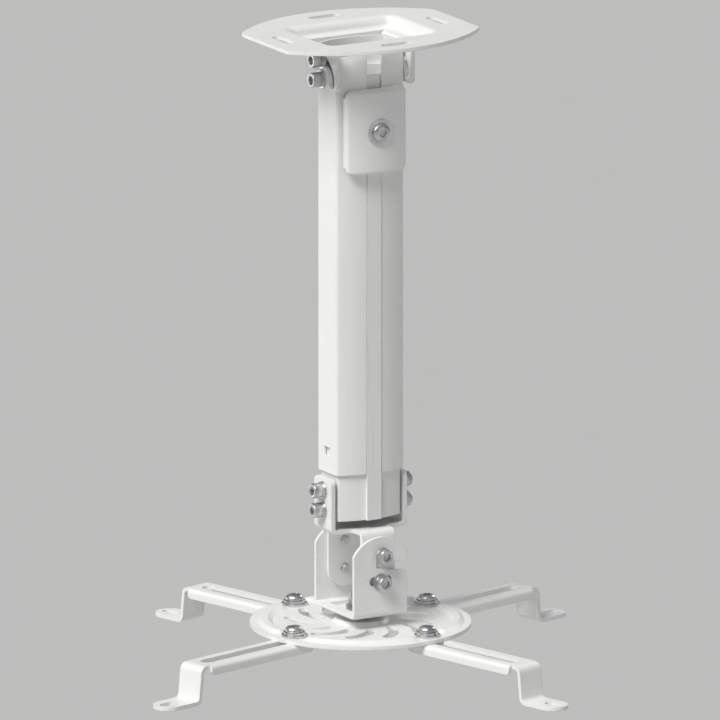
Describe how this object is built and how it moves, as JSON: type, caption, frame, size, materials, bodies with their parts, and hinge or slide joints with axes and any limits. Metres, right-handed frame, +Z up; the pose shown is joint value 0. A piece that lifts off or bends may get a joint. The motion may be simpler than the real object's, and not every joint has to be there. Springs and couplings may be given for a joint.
{
  "type": "projector ceiling mount",
  "caption": "Telescopic ceiling mount: slotted top plate, tilting two-part column with a clamp, tilting yoke, and a turning round plate with adjustable slotted arms.",
  "frame": {"origin": "centre of the ceiling plate's top face", "axes": "+Z up into the ceiling; X through the two ears that carry the column; -Y is the side with the clamp"},
  "size_m": [0.3668, 0.3668, 0.4293],
  "materials": {
    "powder_coat": "fine-textured white powder coat on steel",
    "zinc_plate": "bright zinc plate on steel",
    "nylon": "moulded black nylon"
  },
  "bodies": {
    "ceiling": {"ceiling_plate": "powder_coat"},
    "outer_column": {"outer_tube": "powder_coat", "column_screws": "zinc_plate", "column_flat_washers": "zinc_plate", "column_spring_washers": "zinc_plate", "column_spacers": "zinc_plate", "column_nuts": "zinc_plate"},
    "inner_column": {"inner_tube": "powder_coat", "clamp_cover": "powder_coat", "clamp_pad": "nylon", "clamp_washer": "zinc_plate", "clamp_screw": "zinc_plate", "clamp_nut": "zinc_plate", "lower_bracket": "powder_coat", "bracket_screws": "zinc_plate", "bracket_flat_washers": "zinc_plate", "bracket_spring_washers": "zinc_plate", "bracket_spacers": "zinc_plate", "bracket_nuts": "zinc_plate", "tilt_bolts": "zinc_plate", "tilt_flat_washers": "zinc_plate", "tilt_spring_washers": "zinc_plate"},
    "yoke": {"yoke": "powder_coat", "swivel_bolt": "zinc_plate", "swivel_washer": "zinc_plate", "swivel_bush": "nylon", "swivel_low_washer": "zinc_plate", "swivel_nut": "zinc_plate"},
    "spider": {"spider_plate": "powder_coat"},
    "arm_pivot_rear_right": {"arm_screw_rear_right": "zinc_plate", "arm_flat_washer_rear_right": "zinc_plate", "arm_spring_washer_rear_right": "zinc_plate", "arm_nut_rear_right": "zinc_plate"},
    "arm_rear_right": {"arm_rear_right": "powder_coat"},
    "arm_pivot_rear_left": {"arm_screw_rear_left": "zinc_plate", "arm_flat_washer_rear_left": "zinc_plate", "arm_spring_washer_rear_left": "zinc_plate", "arm_nut_rear_left": "zinc_plate"},
    "arm_rear_left": {"arm_rear_left": "powder_coat"},
    "arm_pivot_front_left": {"arm_screw_front_left": "zinc_plate", "arm_flat_washer_front_left": "zinc_plate", "arm_spring_washer_front_left": "zinc_plate", "arm_nut_front_left": "zinc_plate"},
    "arm_front_left": {"arm_front_left": "powder_coat"},
    "arm_pivot_front_right": {"arm_screw_front_right": "zinc_plate", "arm_flat_washer_front_right": "zinc_plate", "arm_spring_washer_front_right": "zinc_plate", "arm_nut_front_right": "zinc_plate"},
    "arm_front_right": {"arm_front_right": "powder_coat"}
  },
  "joints": [
    {"name": "column_tilt", "type": "hinge", "parent": "ceiling", "child": "outer_column", "pos_m": [0, 0, -0.0297], "axis": [1, 0, 0], "range_deg": [0, 90]},
    {"name": "column_slide", "type": "slide", "parent": "outer_column", "child": "inner_column", "axis": [0, 0, -1], "range_m": [0, 0.22]},
    {"name": "yoke_tilt", "type": "hinge", "parent": "inner_column", "child": "yoke", "pos_m": [0, 0, -0.3507], "axis": [0, 1, 0], "range_deg": [-15, 15]},
    {"name": "swivel", "type": "hinge", "parent": "yoke", "child": "spider", "pos_m": [0, 0, -0.4012], "axis": [0, 0, 1], "continuous": true},
    {"name": "arm_swing_rear_right", "type": "hinge", "parent": "spider", "child": "arm_pivot_rear_right", "pos_m": [0.06008, 0.0161, -0.4012], "axis": [0, 0, 1], "range_deg": [-30, 30]},
    {"name": "arm_slide_rear_right", "type": "slide", "parent": "arm_pivot_rear_right", "child": "arm_rear_right", "axis": [-0.9659, -0.2588, 0], "range_m": [0, 0.035]},
    {"name": "arm_swing_rear_left", "type": "hinge", "parent": "spider", "child": "arm_pivot_rear_left", "pos_m": [-0.0161, 0.06008, -0.4012], "axis": [0, 0, 1], "range_deg": [-30, 30]},
    {"name": "arm_slide_rear_left", "type": "slide", "parent": "arm_pivot_rear_left", "child": "arm_rear_left", "axis": [0.2588, -0.9659, 0], "range_m": [0, 0.035]},
    {"name": "arm_swing_front_left", "type": "hinge", "parent": "spider", "child": "arm_pivot_front_left", "pos_m": [-0.06008, -0.0161, -0.4012], "axis": [0, 0, 1], "range_deg": [-30, 30]},
    {"name": "arm_slide_front_left", "type": "slide", "parent": "arm_pivot_front_left", "child": "arm_front_left", "axis": [0.9659, 0.2588, 0], "range_m": [0, 0.035]},
    {"name": "arm_swing_front_right", "type": "hinge", "parent": "spider", "child": "arm_pivot_front_right", "pos_m": [0.0161, -0.06008, -0.4012], "axis": [0, 0, 1], "range_deg": [-30, 30]},
    {"name": "arm_slide_front_right", "type": "slide", "parent": "arm_pivot_front_right", "child": "arm_front_right", "axis": [-0.2588, 0.9659, 0], "range_m": [0, 0.035]}
  ]
}
